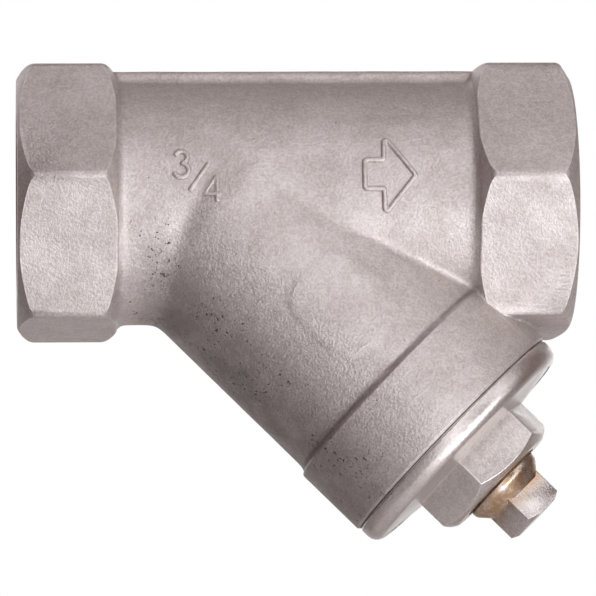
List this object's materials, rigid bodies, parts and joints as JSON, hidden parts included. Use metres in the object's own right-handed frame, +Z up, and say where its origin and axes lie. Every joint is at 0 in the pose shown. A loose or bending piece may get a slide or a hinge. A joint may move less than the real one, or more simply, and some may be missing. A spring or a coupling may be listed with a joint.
{
  "type": "inline filter",
  "caption": "Y-pattern inline strainer with threaded hex ends, a sloping leg that holds a removable screen, a screwed hex cap and a square-headed blow-off plug.",
  "frame": {"origin": "on the run's axis in the plane of the inlet's end face, at the mouth of the inlet thread", "axes": "+X along the run, the way the liquid flows; +Z up, away from the leg; the leg slopes down and downstream in the XZ plane; Y across"},
  "size_m": [0.08, 0.0428, 0.0675],
  "materials": {
    "cast_steel": "bead-blasted investment casting, satin",
    "cap_steel": "bead-blasted, with a turned rim",
    "plug_steel": "bead-blasted, with brown heat and sealant stain at the neck",
    "screen_steel": "rolled perforated sheet",
    "liner_steel": "woven wire cloth",
    "gasket_ptfe": "graphite-filled flat gasket",
    "seal_ptfe": "sealing tape with brown sealant"
  },
  "bodies": {
    "body": {"cast_body": "cast_steel"},
    "screen": {"screen_tube": "screen_steel", "screen_liner": "liner_steel", "screen_top_band": "screen_steel", "screen_bottom_band": "screen_steel"},
    "gasket": {"cap_gasket": "gasket_ptfe"},
    "cap": {"screw_cap": "cap_steel"},
    "seal": {"plug_seal": "seal_ptfe"},
    "plug": {"drain_plug": "plug_steel"}
  },
  "joints": [
    {"name": "screen_withdraw", "type": "slide", "parent": "body", "child": "screen", "axis": [0.7071, 0, -0.7071], "range_m": [0, 0.048]},
    {"name": "cap_lift", "type": "slide", "parent": "screen", "child": "gasket", "axis": [0.7071, 0, -0.7071], "range_m": [0, 0.0106]},
    {"name": "cap_turn", "type": "hinge", "parent": "gasket", "child": "cap", "pos_m": [0.0284, 0, 0], "axis": [0.7071, 0, -0.7071], "range_deg": [0, 2520]},
    {"name": "plug_lift", "type": "slide", "parent": "cap", "child": "seal", "axis": [0.7071, 0, -0.7071], "range_m": [0, 0.0089]},
    {"name": "plug_turn", "type": "hinge", "parent": "seal", "child": "plug", "pos_m": [0.0284, 0, 0], "axis": [0.7071, 0, -0.7071], "range_deg": [0, 2370]}
  ],
  "couplings": [
    {"joint": "cap_lift", "follows": "cap_turn", "m_per_rad": 0.00023873},
    {"joint": "plug_lift", "follows": "plug_turn", "m_per_rad": 0.00021279}
  ]
}
